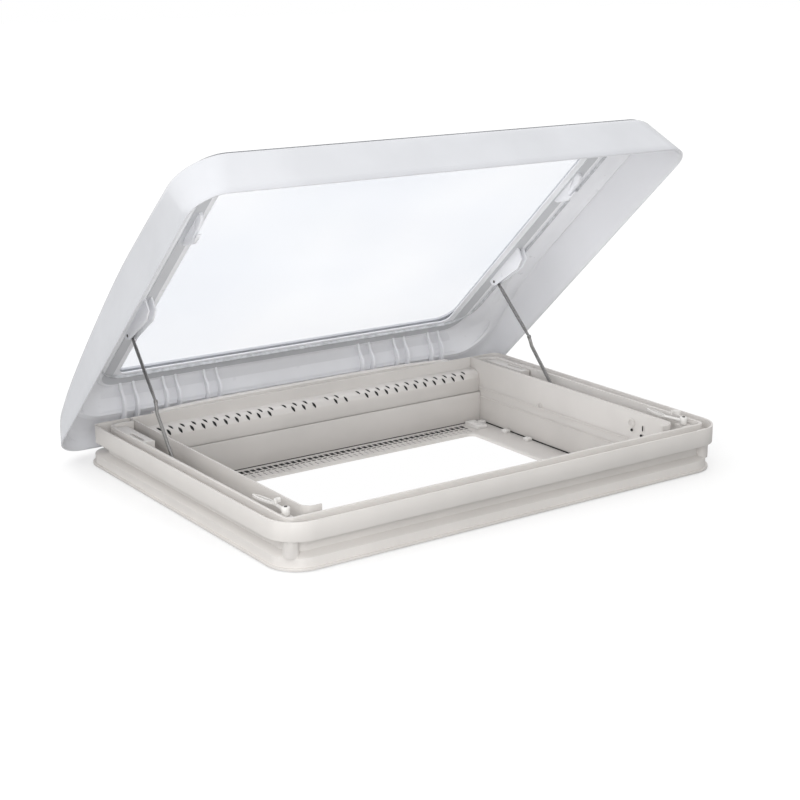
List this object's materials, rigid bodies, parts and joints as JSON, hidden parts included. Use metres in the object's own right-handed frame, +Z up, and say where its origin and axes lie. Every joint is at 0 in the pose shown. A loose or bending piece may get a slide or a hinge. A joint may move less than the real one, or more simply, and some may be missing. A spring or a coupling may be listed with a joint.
{
  "type": "roof vent cover",
  "caption": "Hinged dome roof vent cover on an upstand frame, with folding stays, side latches, a vented inner lining and a clear pane.",
  "frame": {"origin": "on the roof plane under the flange, at the middle of the upstand band", "axes": "+X along the hinge, to the right of a viewer at the front; +Y towards the hinge side; +Z up, out of the roof"},
  "size_m": [0.872, 0.6533, 0.5735],
  "materials": {
    "frame_plastic": "fine grained moulded plastic, warm light grey",
    "lining_plastic": "fine grained moulded plastic, warm light grey",
    "dome_plastic": "smooth glossy moulded acrylic, cool white",
    "dome_inner_plastic": "smooth satin moulded plastic",
    "clear_acrylic": "clear glossy acrylic",
    "rubber_seal": "soft matte seal",
    "white_plastic": "satin white moulded plastic",
    "grey_nylon": "low friction nylon",
    "zinc_steel": "zinc plated spring steel",
    "dark_steel": "dark plated steel"
  },
  "bodies": {
    "base": {"outer_frame": "frame_plastic", "roof_gasket": "rubber_seal", "inner_lining": "lining_plastic", "rear_panel": "lining_plastic", "vent_strip": "lining_plastic", "blind_tray": "lining_plastic", "air_grille": "lining_plastic", "tray_clips": "white_plastic", "rear_rail": "frame_plastic", "bracket_screws": "dark_steel", "hinge_bracket_left_outer": "frame_plastic", "hinge_bracket_left_middle": "frame_plastic", "hinge_bracket_left_inner": "frame_plastic", "grille_end_left": "white_plastic", "pedestal_left": "frame_plastic", "drain_plug_left": "frame_plastic", "stay_track_left": "grey_nylon", "latch_base_left": "frame_plastic", "latch_pin_left": "dark_steel", "latch_rod_left": "dark_steel", "hinge_bracket_right_outer": "frame_plastic", "hinge_bracket_right_middle": "frame_plastic", "hinge_bracket_right_inner": "frame_plastic", "grille_end_right": "white_plastic", "pedestal_right": "frame_plastic", "drain_plug_right": "frame_plastic", "stay_track_right": "grey_nylon", "latch_base_right": "frame_plastic", "latch_pin_right": "dark_steel", "latch_rod_right": "dark_steel"},
    "dome": {"dome_shell": "dome_plastic", "outer_pane": "clear_acrylic", "dome_inner_frame": "dome_inner_plastic", "clear_pane": "clear_acrylic", "pane_gasket": "rubber_seal", "dome_seal": "rubber_seal", "hinge_pins": "dark_steel", "hinge_ears_left_outer": "dome_inner_plastic", "hinge_ears_left_middle": "dome_inner_plastic", "hinge_ears_left_inner": "dome_inner_plastic", "stay_housing_left": "dome_inner_plastic", "stay_pin_left": "dark_steel", "catch_left": "dome_inner_plastic", "hinge_ears_right_outer": "dome_inner_plastic", "hinge_ears_right_middle": "dome_inner_plastic", "hinge_ears_right_inner": "dome_inner_plastic", "stay_housing_right": "dome_inner_plastic", "stay_pin_right": "dark_steel", "catch_right": "dome_inner_plastic"},
    "stay_left": {"upper_stay_left": "zinc_steel", "lower_stay_left": "zinc_steel", "stay_shoe_left": "grey_nylon"},
    "latch_left": {"latch_lever_left": "white_plastic", "latch_hook_left": "white_plastic"},
    "stay_right": {"upper_stay_right": "zinc_steel", "lower_stay_right": "zinc_steel", "stay_shoe_right": "grey_nylon"},
    "latch_right": {"latch_lever_right": "white_plastic", "latch_hook_right": "white_plastic"}
  },
  "joints": [
    {"name": "dome_hinge", "type": "hinge", "parent": "base", "child": "dome", "pos_m": [0, 0.35, 0.024], "axis": [-1, 0, 0], "range_deg": [-43.1, 0]},
    {"name": "stay_left_pivot", "type": "hinge", "parent": "dome", "child": "stay_left", "pos_m": [-0.3528, 0.22827, 0.21707], "axis": [-1, 0, 0], "range_deg": [0, 77]},
    {"name": "stay_right_pivot", "type": "hinge", "parent": "dome", "child": "stay_right", "pos_m": [0.3528, 0.22827, 0.21707], "axis": [-1, 0, 0], "range_deg": [0, 77]},
    {"name": "latch_left_turn", "type": "hinge", "parent": "base", "child": "latch_left", "pos_m": [-0.363, -0.23, 0.07], "axis": [0, 0, -1], "range_deg": [0, 22]},
    {"name": "latch_right_turn", "type": "hinge", "parent": "base", "child": "latch_right", "pos_m": [0.363, -0.23, 0.07], "axis": [0, 0, 1], "range_deg": [0, 22]}
  ],
  "couplings": [
    {"joint": "stay_left_pivot", "follows": "dome_hinge", "ratio": -1.78},
    {"joint": "stay_right_pivot", "follows": "dome_hinge", "ratio": -1.78}
  ]
}
